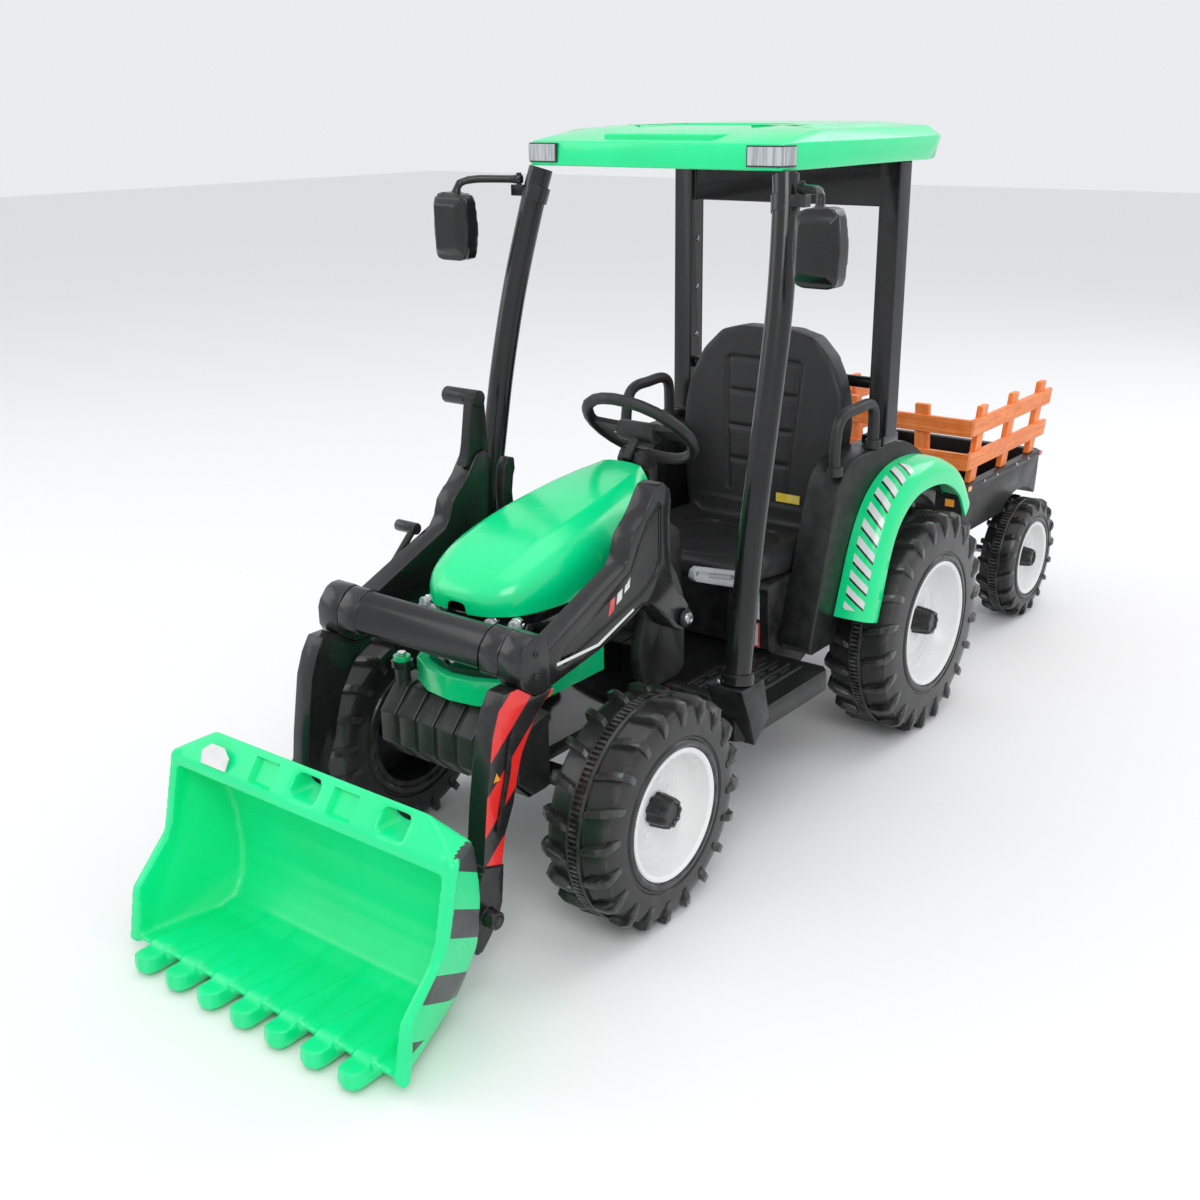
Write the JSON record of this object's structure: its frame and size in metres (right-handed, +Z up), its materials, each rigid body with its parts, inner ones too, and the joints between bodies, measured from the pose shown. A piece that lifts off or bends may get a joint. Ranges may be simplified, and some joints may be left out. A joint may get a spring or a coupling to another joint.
{
  "type": "ride-on toy front loader with trailer",
  "caption": "Ride-on toy tractor with a lifting front bucket, a canopy roof and a hitched two-wheel trailer with fence rails.",
  "frame": {"origin": "on the ground, under the middle of the whole train", "axes": "+Z up, -Y from the trailer towards the bucket, +X to the left of the child in the seat"},
  "size_m": [0.6826, 2.0236, 0.987],
  "materials": {
    "tyre": "moulded hard tyre, semi matt",
    "white_plastic": "gloss",
    "steel": "zinc plated",
    "tube_steel": "satin black",
    "black_plastic": "fine grained",
    "seat_plastic": "leather grained",
    "gloss_black": "semi gloss",
    "green_plastic": "gloss",
    "grey_plastic": "satin",
    "battery_case": "matt",
    "orange_plastic": "moulded wood grain"
  },
  "bodies": {
    "frame": {"chassis_shell": "black_plastic", "front_axle_beam": "steel", "rear_axle": "steel", "gearbox_left": "black_plastic", "gearbox_right": "black_plastic", "tow_hitch": "black_plastic", "front_body": "black_plastic", "grille_panel": "gloss_black", "nose_band": "green_plastic", "hood": "green_plastic", "engine_block": "grey_plastic", "dash_column": "black_plastic", "seat_box": "black_plastic", "floor_deck": "black_plastic", "side_panel_left": "black_plastic", "side_panel_right": "black_plastic", "fender_left": "green_plastic", "fender_right": "green_plastic", "seat": "seat_plastic", "front_post_left": "tube_steel", "front_post_right": "tube_steel", "rear_cab_frame": "black_plastic", "roof": "green_plastic", "handrail_left": "tube_steel", "handrail_right": "tube_steel", "loader_bracket_left": "black_plastic", "loader_bracket_right": "black_plastic", "battery": "battery_case"},
    "tie_bar": {"tie_rod": "steel"},
    "steering": {"steering_wheel": "gloss_black"},
    "pedal": {"foot_pedal": "black_plastic"},
    "gear": {"gear_lever": "grey_plastic"},
    "loader": {"boom_left": "gloss_black", "boom_right": "gloss_black", "cross_tube": "gloss_black", "leg_left": "gloss_black", "leg_right": "gloss_black", "lift_lever": "gloss_black"},
    "tilt_bar": {"tilt_rod": "steel"},
    "scoop": {"bucket": "green_plastic"},
    "trailer": {"trailer_tub": "black_plastic", "trailer_fence": "orange_plastic", "drawbar": "black_plastic", "trailer_axle": "steel"},
    "knuckle_left_body": {"knuckle_left": "steel"},
    "front_wheel_left": {"front_tyre_left": "tyre", "front_rim_left": "white_plastic"},
    "rear_wheel_left": {"rear_tyre_left": "tyre", "rear_rim_left": "white_plastic"},
    "trailer_wheel_left": {"trailer_tyre_left": "tyre", "trailer_rim_left": "white_plastic"},
    "mirror_left_body": {"mirror_left": "gloss_black"},
    "knuckle_right_body": {"knuckle_right": "steel"},
    "front_wheel_right": {"front_tyre_right": "tyre", "front_rim_right": "white_plastic"},
    "rear_wheel_right": {"rear_tyre_right": "tyre", "rear_rim_right": "white_plastic"},
    "trailer_wheel_right": {"trailer_tyre_right": "tyre", "trailer_rim_right": "white_plastic"},
    "mirror_right_body": {"mirror_right": "gloss_black"}
  },
  "joints": [
    {"name": "knuckle_turn_left", "type": "hinge", "parent": "frame", "child": "knuckle_left_body", "pos_m": [0.145, -0.5118, 0.15622], "axis": [0, 0, 1], "range_deg": [-15, 15]},
    {"name": "front_wheel_spin_left", "type": "hinge", "parent": "knuckle_left_body", "child": "front_wheel_left", "pos_m": [0.228, -0.5118, 0.15622], "axis": [1, 0, 0], "continuous": true},
    {"name": "rear_wheel_spin_left", "type": "hinge", "parent": "frame", "child": "rear_wheel_left", "pos_m": [0.226, 0.2512, 0.18931], "axis": [1, 0, 0], "continuous": true},
    {"name": "trailer_wheel_spin_left", "type": "hinge", "parent": "trailer", "child": "trailer_wheel_left", "pos_m": [0.171, 0.8882, 0.1251], "axis": [1, 0, 0], "continuous": true},
    {"name": "mirror_swivel_left", "type": "hinge", "parent": "frame", "child": "mirror_left_body", "pos_m": [0.24, -0.1818, 0.909], "axis": [0, 0, 1], "range_deg": [-25, 25]},
    {"name": "knuckle_turn_right", "type": "hinge", "parent": "frame", "child": "knuckle_right_body", "pos_m": [-0.145, -0.5118, 0.15622], "axis": [0, 0, 1], "range_deg": [-15, 15]},
    {"name": "front_wheel_spin_right", "type": "hinge", "parent": "knuckle_right_body", "child": "front_wheel_right", "pos_m": [-0.228, -0.5118, 0.15622], "axis": [1, 0, 0], "continuous": true},
    {"name": "rear_wheel_spin_right", "type": "hinge", "parent": "frame", "child": "rear_wheel_right", "pos_m": [-0.226, 0.2512, 0.18931], "axis": [1, 0, 0], "continuous": true},
    {"name": "trailer_wheel_spin_right", "type": "hinge", "parent": "trailer", "child": "trailer_wheel_right", "pos_m": [-0.171, 0.8882, 0.1251], "axis": [1, 0, 0], "continuous": true},
    {"name": "mirror_swivel_right", "type": "hinge", "parent": "frame", "child": "mirror_right_body", "pos_m": [-0.24, -0.1818, 0.909], "axis": [0, 0, 1], "range_deg": [-25, 25]},
    {"name": "tie_rod_turn", "type": "hinge", "parent": "knuckle_left_body", "child": "tie_bar", "pos_m": [0.145, -0.4518, 0.116], "axis": [0, 0, 1], "range_deg": [-16, 16]},
    {"name": "steering_turn", "type": "hinge", "parent": "frame", "child": "steering", "pos_m": [0, -0.2058, 0.568], "axis": [0, 0.6561, 0.7547], "range_deg": [-46, 46]},
    {"name": "pedal_press", "type": "hinge", "parent": "frame", "child": "pedal", "pos_m": [-0.118, -0.2028, 0.216], "axis": [1, 0, 0], "range_deg": [0, 18], "stiffness_Nm_per_rad": 0.6, "springref_deg": -8.59},
    {"name": "gear_shift", "type": "hinge", "parent": "frame", "child": "gear", "pos_m": [0.127, -0.1188, 0.338], "axis": [1, 0, 0], "range_deg": [-10, 12]},
    {"name": "loader_lift", "type": "hinge", "parent": "frame", "child": "loader", "pos_m": [0, -0.3398, 0.352], "axis": [-1, 0, 0], "range_deg": [0, 35]},
    {"name": "bucket_tilt", "type": "hinge", "parent": "loader", "child": "scoop", "pos_m": [0, -0.7588, 0.092], "axis": [1, 0, 0], "range_deg": [-25, 30]},
    {"name": "tilt_rod_slide", "type": "slide", "parent": "loader", "child": "tilt_bar", "axis": [0, 0.5907, 0.8069], "range_m": [-0.0215, 0.018]},
    {"name": "trailer_yaw", "type": "hinge", "parent": "frame", "child": "trailer", "pos_m": [0, 0.4332, 0.16], "axis": [0, 0, 1], "range_deg": [-30, 30]}
  ],
  "couplings": [
    {"joint": "knuckle_turn_right", "follows": "knuckle_turn_left", "ratio": 1},
    {"joint": "tie_rod_turn", "follows": "knuckle_turn_left", "ratio": -1},
    {"joint": "steering_turn", "follows": "knuckle_turn_left", "ratio": 3},
    {"joint": "tilt_rod_slide", "follows": "bucket_tilt", "m_per_rad": -0.04}
  ]
}
